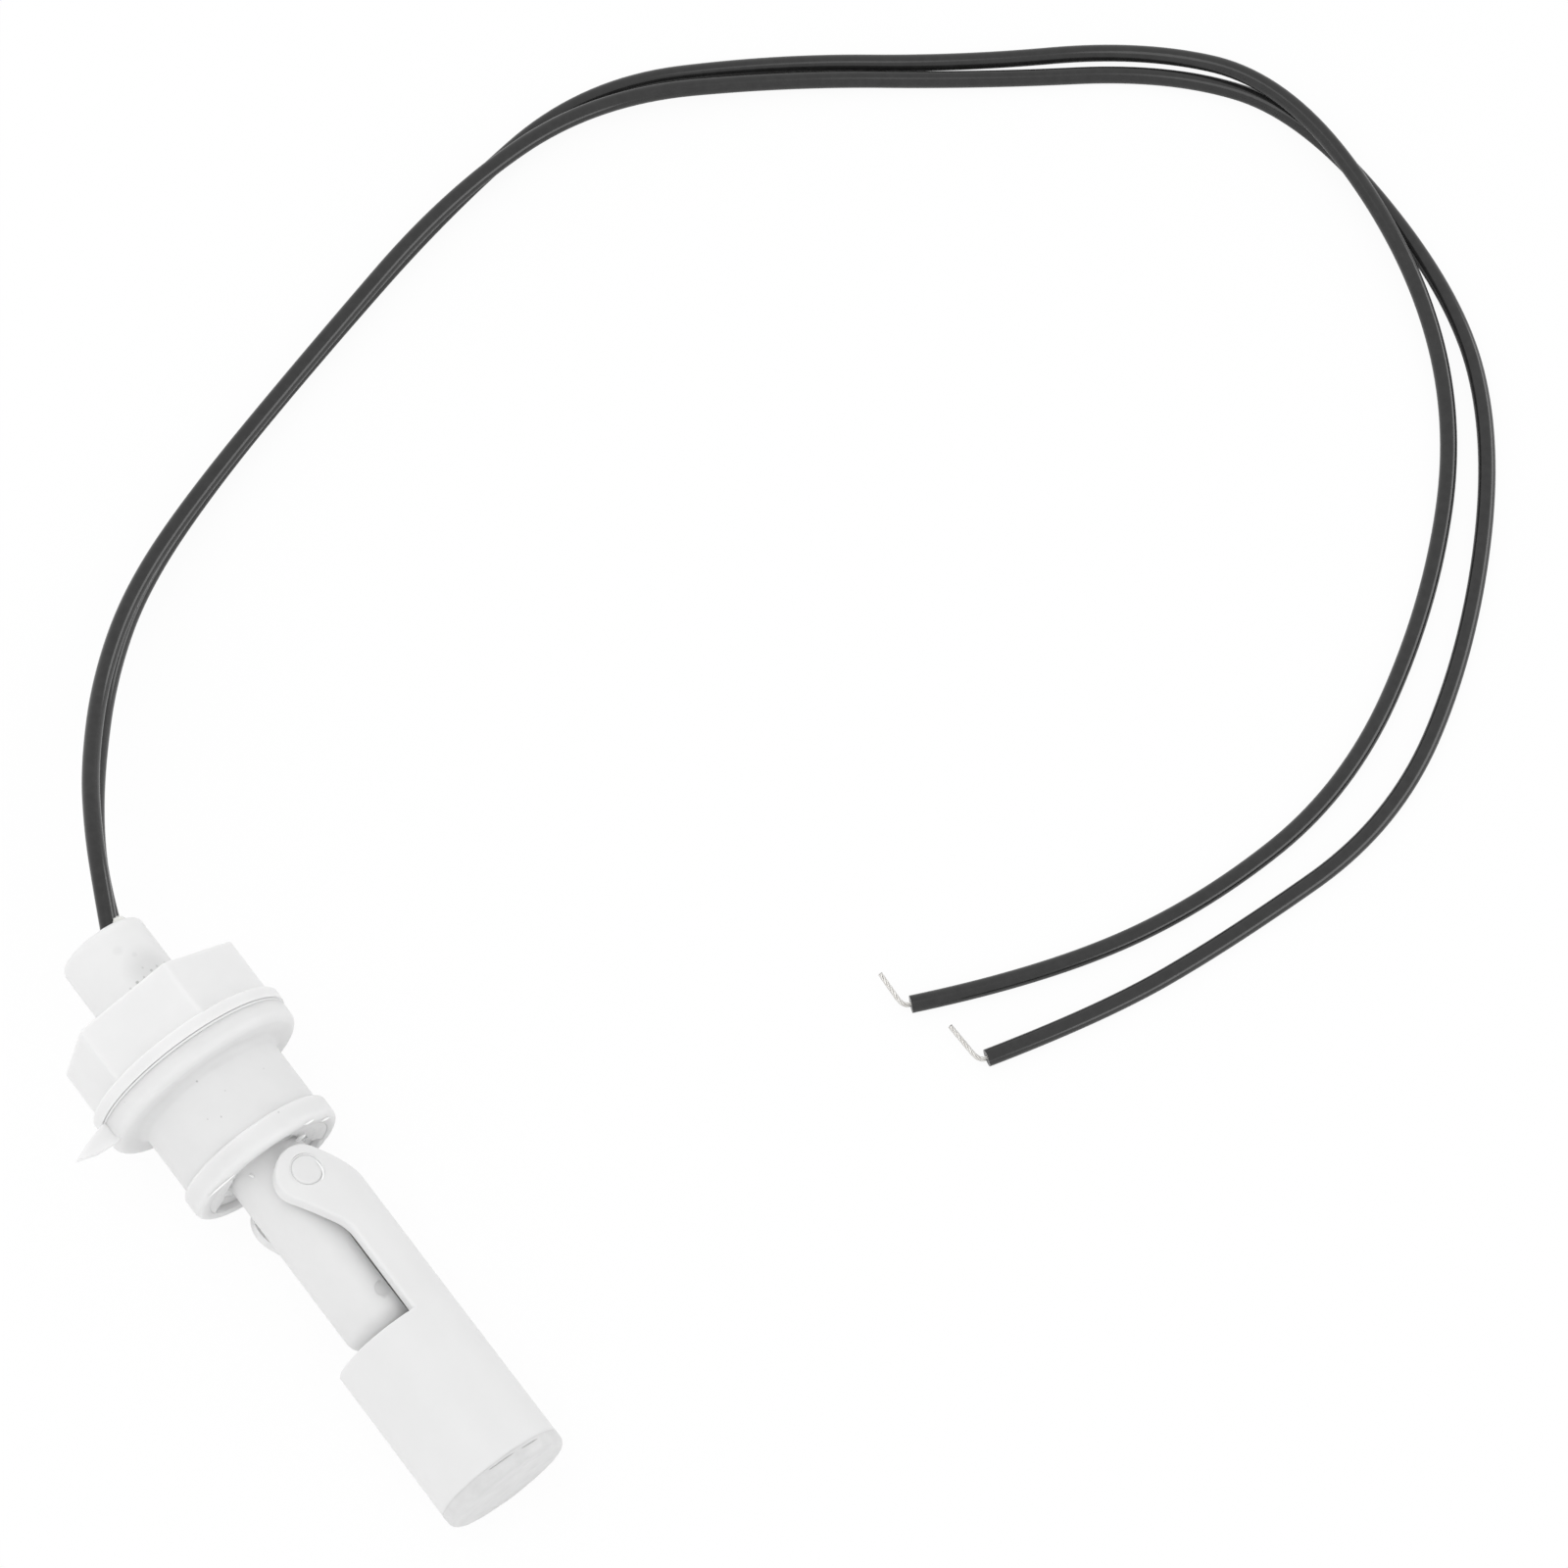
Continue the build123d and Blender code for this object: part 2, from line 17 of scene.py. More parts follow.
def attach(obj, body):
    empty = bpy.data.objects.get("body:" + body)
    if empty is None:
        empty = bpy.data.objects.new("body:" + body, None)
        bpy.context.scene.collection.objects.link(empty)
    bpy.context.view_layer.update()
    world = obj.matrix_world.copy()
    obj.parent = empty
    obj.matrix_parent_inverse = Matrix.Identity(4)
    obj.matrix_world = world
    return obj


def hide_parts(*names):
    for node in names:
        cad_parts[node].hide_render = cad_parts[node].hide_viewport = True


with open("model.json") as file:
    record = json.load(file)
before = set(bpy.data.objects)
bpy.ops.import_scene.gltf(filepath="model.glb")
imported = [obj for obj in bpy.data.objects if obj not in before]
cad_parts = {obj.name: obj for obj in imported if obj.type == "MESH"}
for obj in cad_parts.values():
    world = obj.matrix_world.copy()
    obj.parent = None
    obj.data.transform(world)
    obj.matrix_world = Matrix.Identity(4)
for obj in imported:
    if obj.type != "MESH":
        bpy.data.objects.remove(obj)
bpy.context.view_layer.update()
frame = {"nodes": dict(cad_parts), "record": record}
MM = 0.001
print("nodes:", sorted(frame["nodes"]))

# %% [markdown]
# ## Where things are
# The switch lies on the edge of its rim and the end of its float, so its stem dips a
# little, and its hinge leans over. Most shapes on it are round about the stem. So they
# are easiest to write in the stem's own directions: `along` points to the float,
# `shell` to the side that the half shell is on, and `hinge` along the pivot. The seat
# and the pivot of the model give all three.

# %% Directions of the stem
pivot = frame["record"]["behaviour"]["joints"][0]
seat = frame["record"]["mounts"][0]
hinge = Vector(pivot["axis"]).normalized()
along = Vector(seat["axis"]).normalized()
shell = hinge.cross(along)
PIVOT_S, PIVOT_M = 19.8 * MM, 0.25 * MM
rim_middle = Vector(pivot["pos_m"]) - along * PIVOT_S - shell * PIVOT_M
STEM = np.array([along, shell, hinge])


def on_stem(s, m, h):
    """Rows of points: the rim's middle, plus s times along, m shell and h hinge."""
    local = np.stack(np.broadcast_arrays(s, m, h), axis=-1)
    return local.reshape(-1, 3) @ STEM + np.array(rim_middle)


print("stem starts at", [round(x, 4) for x in rim_middle], "and points", list(along))

# %% [markdown]
# ## Camera
# The photograph was taken from about 0.7 m away, high over the table, with a long lens.
# `right` and `up` are the picture's own directions in the room, and the camera stands
# back along the third.

# %% Camera at the photograph's angle
VIEW_TURN = math.radians(52.488)
VIEW_HEIGHT = math.radians(67.373)
DISTANCE = 0.70436
LENS, SENSOR_WIDTH = 131.54, 36
LOOK_FROM_RIM = Vector((9.289, 80.757, 0)) * MM
TARGET = rim_middle + LOOK_FROM_RIM
TARGET.z = 0
right = Vector((math.cos(VIEW_TURN), math.sin(VIEW_TURN), 0))
ahead = Vector((-math.sin(VIEW_TURN), math.cos(VIEW_TURN), 0))
up = ahead * math.sin(VIEW_HEIGHT) + Vector((0, 0, math.cos(VIEW_HEIGHT)))
toward = right.cross(up)
camera = bpy.data.objects.new("camera", bpy.data.cameras.new("camera"))
bpy.context.collection.objects.link(camera)
camera.data.lens = LENS
camera.data.sensor_width = SENSOR_WIDTH
camera.data.clip_end = 10
axes = Matrix((right, up, toward)).transposed().to_4x4()
camera.matrix_world = Matrix.Translation(TARGET + toward * DISTANCE) @ axes
bpy.context.scene.camera = camera
print("camera looks at", [round(x, 4) for x in TARGET], "from", DISTANCE, "m away")

# %% [markdown]
# ## Light and table
# A white plastic thing on a white table needs light from everywhere, or it turns grey
# on one side. So the sky does most of the work, and one soft lamp a little to the left
# of the camera draws the forms. A card on the right shows only in what is glossy: it
# gives the dark wires their long bright streak. What the camera sees of the table is
# nearly all its own white, so that only a breath of shadow stays on it.

# %% Sky
scene = bpy.context.scene
scene.view_settings.view_transform = "Standard"
world = bpy.data.worlds.new("studio")
scene.world = world
world.use_nodes = True
sky = world.node_tree
sky.nodes.clear()


def add(tree, kind, **settings):
    """Adds a node of that kind, and sets its properties or, by name, its inputs."""
    node = tree.nodes.new(kind)
    for name, value in settings.items():
        if hasattr(node, name):
            setattr(node, name, value)
        else:
            node.inputs[name.replace("_", " ")].default_value = value
    return node


SKY_LIGHT, SKY_SEEN = 0.92, 1.0
sky_out = add(sky, "ShaderNodeOutputWorld")
sky_paths = add(sky, "ShaderNodeLightPath")
sky_seen = add(sky, "ShaderNodeMath", operation="MAXIMUM")
sky_strength = add(sky, "ShaderNodeMapRange", To_Min=SKY_LIGHT, To_Max=SKY_SEEN)
sky_glow = add(sky, "ShaderNodeBackground", Color=(1, 1, 1, 1))
sky.links.new(sky_paths.outputs["Is Camera Ray"], sky_seen.inputs[0])
sky.links.new(sky_paths.outputs["Is Glossy Ray"], sky_seen.inputs[1])
sky.links.new(sky_seen.outputs[0], sky_strength.inputs["Value"])
sky.links.new(sky_strength.outputs["Result"], sky_glow.inputs["Strength"])
sky.links.new(sky_glow.outputs[0], sky_out.inputs["Surface"])
print("sky lights at", SKY_LIGHT, "and is seen at", SKY_SEEN)


# %% Lamp and gloss card
def area_lamp(name, shape, size, energy, place, aim):
    """An area lamp of that shape and size at a place, with its face to the aim."""
    lamp = bpy.data.objects.new(name, bpy.data.lights.new(name, "AREA"))
    bpy.context.collection.objects.link(lamp)
    lamp.data.shape = shape
    lamp.data.size, lamp.data.size_y = size
    lamp.data.energy = energy
    lamp.location = place
    lamp.rotation_euler = (aim - place).to_track_quat("-Z", "Y").to_euler()
    return lamp


LAMP_SIZE, LAMP_ENERGY = (0.6, 0.6), 1.3
LAMP_PLACE = TARGET + toward * 0.9 - right * 0.2 + up * 0.22
LAMP_AIM = Vector((0, 0.06, 0))
CARD_SIZE, CARD_ENERGY = (2.2, 0.5), 9.0
CARD_PLACE = TARGET + toward * 0.3 + right * 0.95
area_lamp("soft_lamp", "DISK", LAMP_SIZE, LAMP_ENERGY, LAMP_PLACE, LAMP_AIM)
card = area_lamp("gloss_card", "RECTANGLE", CARD_SIZE, CARD_ENERGY, CARD_PLACE, TARGET)
card.visible_diffuse = False
print("lamp at", [round(x, 2) for x in LAMP_PLACE], "card at", list(CARD_PLACE))

# %% Table
TABLE_HALF = 3.0
OWN_WHITE = 0.93
PAPER = (0.95, 0.95, 0.95, 1)
table_mesh = bpy.data.meshes.new("table")
corners = [(x, y, 0) for x, y in ((-1, -1), (1, -1), (1, 1), (-1, 1))]
table_mesh.from_pydata([Vector(c) * TABLE_HALF for c in corners], [], [(0, 1, 2, 3)])
table = bpy.data.objects.new("table", table_mesh)
bpy.context.collection.objects.link(table)

table_white = bpy.data.materials.new("white_table")
table_white.use_nodes = True
tree = table_white.node_tree
tree.nodes.clear()
table_out = add(tree, "ShaderNodeOutputMaterial")
table_mix = add(tree, "ShaderNodeMixShader")
table_paper = add(tree, "ShaderNodeBsdfDiffuse", Color=PAPER)
table_glow = add(tree, "ShaderNodeEmission", Color=(1, 1, 1, 1), Strength=1.0)
table_paths = add(tree, "ShaderNodeLightPath")
table_share = add(tree, "ShaderNodeMath", operation="MULTIPLY")
table_share.inputs[1].default_value = OWN_WHITE
tree.links.new(table_paths.outputs["Is Camera Ray"], table_share.inputs[0])
tree.links.new(table_share.outputs[0], table_mix.inputs[0])
tree.links.new(table_paper.outputs[0], table_mix.inputs[1])
tree.links.new(table_glow.outputs[0], table_mix.inputs[2])
tree.links.new(table_mix.outputs[0], table_out.inputs["Surface"])
table_mesh.materials.append(table_white)
print("table is", 2 * TABLE_HALF, "m wide")

# %% [markdown]
# ## Finishes that several pieces share
# White moulded plastic isn't one flat white. It has a very fine grain from the mould,
# its tone drifts a little from place to place, and marks and specks of dust with ragged
# edges sit on it, and some marks are painted shade. Each of these effects is a small
# group of nodes that is built once.
# Every material then places the group with its own values.

# %% Shader group helpers
FLOAT, COLOR, VECTOR = "NodeSocketFloat", "NodeSocketColor", "NodeSocketVector"
# A Mix node shows only its colour sockets here, but it counts its hidden ones too.
MIX_SHARE, MIX_A, MIX_B, MIX_OUT = 0, 6, 7, 2


def new_group(name, inputs, outputs):
    """An empty node group with these sockets, its tree and its two end nodes."""
    group = bpy.data.node_groups.new(name, "ShaderNodeTree")
    for label, kind, value in inputs:
        socket = group.interface.new_socket(label, in_out="INPUT", socket_type=kind)
        if value is not None:
            socket.default_value = value
    for label, kind in outputs:
        group.interface.new_socket(label, in_out="OUTPUT", socket_type=kind)
    return group, add(group, "NodeGroupInput"), add(group, "NodeGroupOutput")


# %% Group: the tone drifts from place to place
def build_tone_drift():
    """Blends two colours by soft cloudy noise, whose contrast is set by Amount."""
    group, start, end = new_group(
        "tone drift",
        [
            ("Vector", VECTOR, None),
            ("Scale", FLOAT, 200.0),
            ("Amount", FLOAT, 0.5),
            ("Base", COLOR, (0.8, 0.8, 0.8, 1)),
            ("Shade", COLOR, (0.7, 0.7, 0.7, 1)),
        ],
        [("Color", COLOR)],
    )
    cloud = add(group, "ShaderNodeTexNoise", Detail=3.0, Roughness=0.55)
    spread = add(group, "ShaderNodeMapRange", From_Min=0.35, From_Max=0.7)
    share = add(group, "ShaderNodeMath", operation="MULTIPLY")
    mix = add(group, "ShaderNodeMix", data_type="RGBA")
    link = group.links.new
    link(start.outputs["Vector"], cloud.inputs["Vector"])
    link(start.outputs["Scale"], cloud.inputs["Scale"])
    link(cloud.outputs["Fac"], spread.inputs["Value"])
    link(spread.outputs["Result"], share.inputs[0])
    link(start.outputs["Amount"], share.inputs[1])
    link(share.outputs[0], mix.inputs[MIX_SHARE])
    link(start.outputs["Base"], mix.inputs[MIX_A])
    link(start.outputs["Shade"], mix.inputs[MIX_B])
    link(mix.outputs[MIX_OUT], end.inputs["Color"])
    return group


tone_drift = build_tone_drift()


# %% Group: fine grain of the mould
def build_fine_grain():
    """A height made of two noises, one fine and one three times wider."""
    group, start, end = new_group(
        "fine grain",
        [("Vector", VECTOR, None), ("Scale", FLOAT, 3000.0)],
        [("Height", FLOAT)],
    )
    fine = add(group, "ShaderNodeTexNoise", Detail=2.0)
    wide_scale = add(group, "ShaderNodeMath", operation="DIVIDE")
    wide_scale.inputs[1].default_value = 3.0
    wide = add(group, "ShaderNodeTexNoise", Detail=1.0)
    total = add(group, "ShaderNodeMath", operation="ADD")
    link = group.links.new
    link(start.outputs["Vector"], fine.inputs["Vector"])
    link(start.outputs["Scale"], fine.inputs["Scale"])
    link(start.outputs["Scale"], wide_scale.inputs[0])
    link(start.outputs["Vector"], wide.inputs["Vector"])
    link(wide_scale.outputs[0], wide.inputs["Scale"])
    link(fine.outputs["Fac"], total.inputs[0])
    link(wide.outputs["Fac"], total.inputs[1])
    link(total.outputs[0], end.inputs["Height"])
    return group


fine_grain = build_fine_grain()


# %% Group: a mark at one place
def build_mark():
    """Strength within Radius of Place, falling to nothing over Softness beyond it."""
    group, start, end = new_group(
        "mark",
        [
            ("Vector", VECTOR, None),
            ("Place", VECTOR, None),
            ("Radius", FLOAT, 0.0001),
            ("Softness", FLOAT, 0.0001),
            ("Strength", FLOAT, 1.0),
        ],
        [("Mask", FLOAT)],
    )
    away = add(group, "ShaderNodeVectorMath", operation="DISTANCE")
    outside = add(group, "ShaderNodeMath", operation="ADD")
    fade = add(group, "ShaderNodeMapRange", To_Max=0.0)
    link = group.links.new
    link(start.outputs["Vector"], away.inputs[0])
    link(start.outputs["Place"], away.inputs[1])
    link(start.outputs["Radius"], outside.inputs[0])
    link(start.outputs["Softness"], outside.inputs[1])
    link(away.outputs["Value"], fade.inputs["Value"])
    link(start.outputs["Radius"], fade.inputs["From Min"])
    link(outside.outputs[0], fade.inputs["From Max"])
    link(start.outputs["Strength"], fade.inputs["To Min"])
    link(fade.outputs["Result"], end.inputs["Mask"])
    return group


mark = build_mark()


# %% Group: ragged shift of a place
def build_ragged():
    """The place plus Reach times noise about zero, which makes edges ragged."""
    group, start, end = new_group(
        "ragged",
        [("Vector", VECTOR, None), ("Scale", FLOAT, 4000.0), ("Reach", FLOAT, 0.0002)],
        [("Vector", VECTOR)],
    )
    noise = add(group, "ShaderNodeTexNoise", Detail=2.0)
    middle = add(group, "ShaderNodeVectorMath", operation="SUBTRACT")
    middle.inputs[1].default_value = (0.5, 0.5, 0.5)
    size = add(group, "ShaderNodeVectorMath", operation="SCALE")
    total = add(group, "ShaderNodeVectorMath", operation="ADD")
    link = group.links.new
    link(start.outputs["Vector"], noise.inputs["Vector"])
    link(start.outputs["Scale"], noise.inputs["Scale"])
    link(noise.outputs["Color"], middle.inputs[0])
    link(middle.outputs[0], size.inputs[0])
    link(start.outputs["Reach"], size.inputs["Scale"])
    link(size.outputs[0], total.inputs[0])
    link(start.outputs["Vector"], total.inputs[1])
    link(total.outputs[0], end.inputs["Vector"])
    return group


ragged = build_ragged()
print("shader groups:", tone_drift.name, fine_grain.name, mark.name, ragged.name)

# %% [markdown]
# ## White plastics
# The housing, the float and the silicone are all near white, and the photograph tells
# them apart only by a few percent of tone. So one function builds such a material from
# its tone, how much it drifts, how it shines and how deep light goes into it. Light
# that goes a little way in softens the shading, as it does in real milky plastic.

# %% What every material starts from
GRAIN_HEIGHT = 0.00002


def grey(value):
    """One tone for red, green and blue."""
    return (value, value, value)


def grained(name, base, shade, drift_scale, drift_amount, rough, grain):
    """A material of drifting tone and fine grain, with its shader and tone nodes."""
    material = bpy.data.materials.new(name)
    material.use_nodes = True
    tree = material.node_tree
    shader = tree.nodes["Principled BSDF"]
    shader.inputs["Roughness"].default_value = rough
    place = add(tree, "ShaderNodeTexCoord")
    tone = add(tree, "ShaderNodeGroup", node_tree=tone_drift)
    tone.inputs["Scale"].default_value = drift_scale
    tone.inputs["Amount"].default_value = drift_amount
    tone.inputs["Base"].default_value = (*base, 1)
    tone.inputs["Shade"].default_value = (*shade, 1)
    height = add(tree, "ShaderNodeGroup", node_tree=fine_grain)
    bump = add(tree, "ShaderNodeBump", Strength=grain, Distance=GRAIN_HEIGHT)
    link = tree.links.new
    link(place.outputs["Object"], tone.inputs["Vector"])
    link(place.outputs["Object"], height.inputs["Vector"])
    link(tone.outputs["Color"], shader.inputs["Base Color"])
    link(height.outputs["Height"], bump.inputs["Height"])
    link(bump.outputs["Normal"], shader.inputs["Normal"])
    return material, shader, tone


# %% Milky material
MILKY_DRIFT, MILKY_SPECULAR = 0.6, 0.35
# The colour that the marks darken towards: grime and dust, and painted shade in some of
# the housing's marks.
GRIME_AND_SHADE = grey(0.42)


def add_marks(material, color, shader, marks):
    """Darkens the colour towards GRIME_AND_SHADE at each mark's place, one after the other."""
    tree = material.node_tree
    link = tree.links.new
    place = add(tree, "ShaderNodeTexCoord")
    rough_place = add(tree, "ShaderNodeGroup", node_tree=ragged)
    link(place.outputs["Object"], rough_place.inputs["Vector"])
    for s, m, h, radius, softness, strength in marks:
        spot = add(tree, "ShaderNodeGroup", node_tree=mark)
        spot.inputs["Place"].default_value = on_stem(s * MM, m * MM, h * MM)[0]
        spot.inputs["Radius"].default_value = radius * MM
        spot.inputs["Softness"].default_value = softness * MM
        spot.inputs["Strength"].default_value = strength
        darker = add(tree, "ShaderNodeMix", data_type="RGBA")
        darker.inputs[MIX_B].default_value = (*GRIME_AND_SHADE, 1)
        link(rough_place.outputs["Vector"], spot.inputs["Vector"])
        link(spot.outputs["Mask"], darker.inputs[MIX_SHARE])
        link(color, darker.inputs[MIX_A])
        color = darker.outputs[MIX_OUT]
    link(color, shader.inputs["Base Color"])


def milky(name, base, shade, drift_scale, rough, depth, grain, marks=()):
    """A pale plastic: drifting tone, fine grain, light that goes in, and marks."""
    material, shader, tone = grained(
        name, base, shade, drift_scale, MILKY_DRIFT, rough, grain
    )
    shader.inputs["Subsurface Weight"].default_value = 1.0
    shader.inputs["Subsurface Radius"].default_value = (1.0, 1.0, 1.0)
    shader.inputs["Subsurface Scale"].default_value = depth
    shader.inputs["Specular IOR Level"].default_value = MILKY_SPECULAR
    if marks:
        add_marks(material, tone.outputs["Color"], shader, marks)
    return material


# %% [markdown]
# Each mark is a place in the stem's directions in millimetres, with its radius, how far
# it fades, and its strength. On the housing they are specks of grime where the boss
# meets the hexagon, with a wide soft band of painted shade in that corner, the ring
# that a pin of the mould left near the tip, and a wide weak one of painted shade that
# makes the whole stem a little greyer. On the silicone they are grains of dust.

# %% Marks of grime and dust, and of painted shade, in millimetres
HOUSING_MARKS = [
    (-11.3, 0.8, 5.6, 0.12, 0.10, 0.6),
    (-11.0, -0.5, 5.6, 0.10, 0.10, 0.5),
    (-10.9, -1.5, 5.4, 0.15, 0.12, 0.7),
    (-11.5, 1.8, 5.3, 0.08, 0.15, 0.5),
    (-11.6, 3.2, 4.6, 0.08, 0.15, 0.4),
    (-10.8, -2.5, 5.0, 0.08, 0.15, 0.4),
    (-12.1, 0.1, 5.6, 0.06, 0.12, 0.4),
    (-15.5, -1.1, 5.5, 0.30, 0.50, 0.10),
    (-14.0, 0.3, 5.6, 0.15, 0.30, 0.14),
    # Painted shade: a wide soft band that darkens the corner where the boss meets the
    # hexagon.
    (-11.6, 0.9, 5.5, 1.20, 2.40, 0.20),
    (35.9, 0.2, 5.1, 0.75, 0.45, 0.10),
    # Painted shade: a wide weak darkening of the whole stem.
    (28.0, 0.0, 0.0, 13.0, 3.0, 0.10),
    (35.0, 0.3, 5.1, 0.10, 0.22, 0.30),
    (36.8, -0.4, 5.1, 0.12, 0.25, 0.22),
]
DUST = [
    (4.0, -4.3, 8.3, 0.06, 0.12, 0.8),
    (6.9, -2.5, 9.0, 0.04, 0.12, 0.35),
    (6.9, 3.2, 8.7, 0.05, 0.12, 0.4),
    (8.3, -5.7, 7.4, 0.05, 0.09, 0.45),
    (9.1, -4.5, 8.2, 0.05, 0.10, 0.6),
    (12.7, 0.8, 10.0, 0.05, 0.12, 0.4),
    (12.0, -2.9, 9.6, 0.05, 0.25, 0.3),
    (0.9, -11.9, 5.4, 0.05, 0.10, 0.3),
]

# %% The four white materials
housing_white = milky(
    "housing_white",
    grey(0.84),
    grey(0.81),
    drift_scale=260,
    rough=0.42,
    depth=0.4 * MM,
    grain=0.25,
    marks=HOUSING_MARKS,
)
float_white = milky(
    "float_white",
    grey(0.81),
    grey(0.79),
    drift_scale=220,
    rough=0.45,
    depth=0.2 * MM,
    grain=0.3,
)
silicone_milk = milky(
    "silicone_milk",
    grey(0.79),
    grey(0.755),
    drift_scale=240,
    rough=0.5,
    depth=1.2 * MM,
    grain=0.15,
    marks=DUST,
)
potting_resin = milky(
    "potting_resin",
    (0.80, 0.80, 0.77),
    (0.72, 0.72, 0.69),
    drift_scale=500,
    rough=0.15,
    depth=0.8 * MM,
    grain=0.1,
)
print("marks on the housing:", len(HOUSING_MARKS), "on the silicone:", len(DUST))

# %% [markdown]
# ## Metals, glass and dark plastic
# Nothing of the reed shows while the switch is whole, but each piece still gets a
# finish of its own. The wires are dark PVC. Their jackets are nearly smooth, and they
# catch the light in one long soft streak.

# %% Plain finishes
PLAIN_DRIFT = 0.5


def plain(name, base, shade, drift_scale, rough, metallic=0.0, grain=0.2, **sockets):
    """A material of one drifting colour with fine grain, metal or not."""
    material, shader, _ = grained(
        name, base, shade, drift_scale, PLAIN_DRIFT, rough, grain
    )
    shader.inputs["Metallic"].default_value = metallic
    for label, value in sockets.items():
        shader.inputs[label.replace("_", " ")].default_value = value
    return material


wire_pvc = plain(
    "wire_pvc",
    grey(0.018),
    grey(0.032),
    drift_scale=900,
    rough=0.16,
    grain=0.08,
    Specular_IOR_Level=0.42,
)
tinned_copper = plain(
    "tinned_copper",
    (0.72, 0.71, 0.69),
    (0.5, 0.48, 0.45),
    drift_scale=1500,
    rough=0.3,
    metallic=1.0,
)
solder_bright = plain(
    "solder_bright", grey(0.7), grey(0.5), drift_scale=1200, rough=0.22, metallic=1.0
)
reed_plate = plain(
    "reed_plate",
    (0.62, 0.6, 0.56),
    grey(0.5),
    drift_scale=1500,
    rough=0.28,
    metallic=1.0,
)
ferrite = plain(
    "ferrite", grey(0.05), grey(0.09), drift_scale=1500, rough=0.6, grain=0.6
)
sleeve_black = plain(
    "sleeve_black", grey(0.02), grey(0.04), drift_scale=1500, rough=0.5
)
reed_glass = plain(
    "reed_glass",
    (0.9, 0.96, 0.93),
    grey(0.9),
    drift_scale=800,
    rough=0.03,
    grain=0.0,
    Transmission_Weight=1.0,
)

# %% [markdown]
# ## Give each CAD piece its finish
# The rigid pieces already have the right form, so they only need a material. Their
# meshes come as loose triangles. A Weld modifier joins these, and an Edge Split keeps
# the corners crisp where the faces meet at more than a gentle angle.

# %% Finishes by node
FINISHES = {
    "housing": housing_white,
    "grommet": silicone_milk,
    "float_shell": float_white,
    "float_cap": float_white,
    "potting": potting_resin,
    "magnet": ferrite,
    "reed_glass": reed_glass,
    "reed_blade_a": reed_plate,
    "reed_blade_b": reed_plate,
    "shrink_sleeve_b": sleeve_black,
    "tail_a": wire_pvc,
    "tail_b": wire_pvc,
    "core_a": tinned_copper,
    "core_b": tinned_copper,
    "solder_joint_a": solder_bright,
    "solder_joint_b": solder_bright,
}
SHARP = math.radians(28)
WELD_GAP = 0.000002
for node, material in FINISHES.items():
    piece = frame["nodes"][node]
    piece.data.materials.clear()
    piece.data.materials.append(material)
    piece.data.polygons.foreach_set("use_smooth", [True] * len(piece.data.polygons))
    weld = piece.modifiers.new("weld", "WELD")
    weld.merge_threshold = WELD_GAP
    split = piece.modifiers.new("crisp", "EDGE_SPLIT")
    split.split_angle = SHARP
print("finished", len(FINISHES), "rigid pieces")

# %% [markdown]
# ## The two wires
# A hook-up wire is a length of something springy that keeps the bends it got in its
# bag. It is made as one smooth curve with a round bevel. The control points are the
# places where the real wire lies: straight out of the boss, down to the table, round a
# wide bight and back beside the float. The first wire lies over the second near the
# boss, and under it in the bight.

# %% Routes of the wires, in millimetres
ROUTE_A = [
    (-45.3, 6.2, 16.2),
    (-53, 10, 15.3),
    (-61.5, 15, 12.5),
    (-72, 23.5, 8.3),
    (-80.5, 34, 5.8),
    (-87, 48.5, 4.4),
    (-94.5, 71.5, 3.4),
    (-102, 98, 3.7),
    (-102.5, 121.5, 3),
    (-90, 143.5, 1.6),
    (-75, 163, 1.1),
    (-61, 183.5, 1.1),
    (-45.5, 193.5, 1.1),
    (-14.5, 192, 1.1),
    (5, 182.5, 1.1),
    (25, 161.5, 1.1),
    (37.5, 139, 1.1),
    (37, 113.5, 1.1),
    (35, 95, 1.1),
    (31, 80.5, 1.1),
]
ROUTE_B = [
    (-46.6, 6.7, 13.7),
    (-53.5, 10.3, 12.6),
    (-62, 16, 9.6),
    (-73, 25, 5.2),
    (-81.5, 35.5, 2.9),
    (-88.5, 51, 1.5),
    (-95, 71.5, 1.1),
    (-102, 97, 1.1),
    (-105.5, 122, 1.1),
    (-93, 144, 1.1),
    (-78.5, 162.5, 1.1),
    (-66, 182.5, 1.3),
    (-50, 193, 4),
    (-23, 191, 2.7),
    (-0.5, 181, 1.1),
    (17.5, 161.5, 1.1),
    (30.5, 137.5, 1.1),
    (31.5, 113, 1.1),
    (26.5, 91.5, 1.1),
    (20, 77.5, 1.1),
]

# %% Lay the wires
WIRE_R = 1.1 * MM
BOSS_END = -19.0 * MM
START_IN = 0.7 * MM
EXIT_A = (1.24 * MM, 1.35 * MM)
EXIT_B = (2.48 * MM, -0.75 * MM)


def lay_wire(name, node, way_out, route):
    """A round wire along a smooth curve by its route, from just inside the boss."""
    exit_point = on_stem(BOSS_END, *way_out)[0]
    route = np.array(route) * MM
    way = (route[0] - exit_point) / np.linalg.norm(route[0] - exit_point)
    points = np.vstack([exit_point - way * START_IN, route])
    curve = bpy.data.curves.new(name, "CURVE")
    curve.dimensions = "3D"
    curve.bevel_depth = WIRE_R
    curve.bevel_resolution = 6
    curve.resolution_u = 16
    curve.use_fill_caps = True
    spline = curve.splines.new("NURBS")
    spline.points.add(len(points) - 1)
    weighted = np.hstack([points, np.ones((len(points), 1))])
    spline.points.foreach_set("co", weighted.ravel())
    spline.order_u = 3
    spline.use_endpoint_u = True
    wire = bpy.data.objects.new(name, curve)
    bpy.context.collection.objects.link(wire)
    curve.materials.append(wire_pvc)
    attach(wire, "stem_body")
    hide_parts(node)
    return wire, points, exit_point


wire_a, points_a, exit_a = lay_wire("wire_a_jacket", "wire_a", EXIT_A, ROUTE_A)
wire_b, points_b, exit_b = lay_wire("wire_b_jacket", "wire_b", EXIT_B, ROUTE_B)
print("the wires leave the boss at", exit_a.round(4), "and", exit_b.round(4))

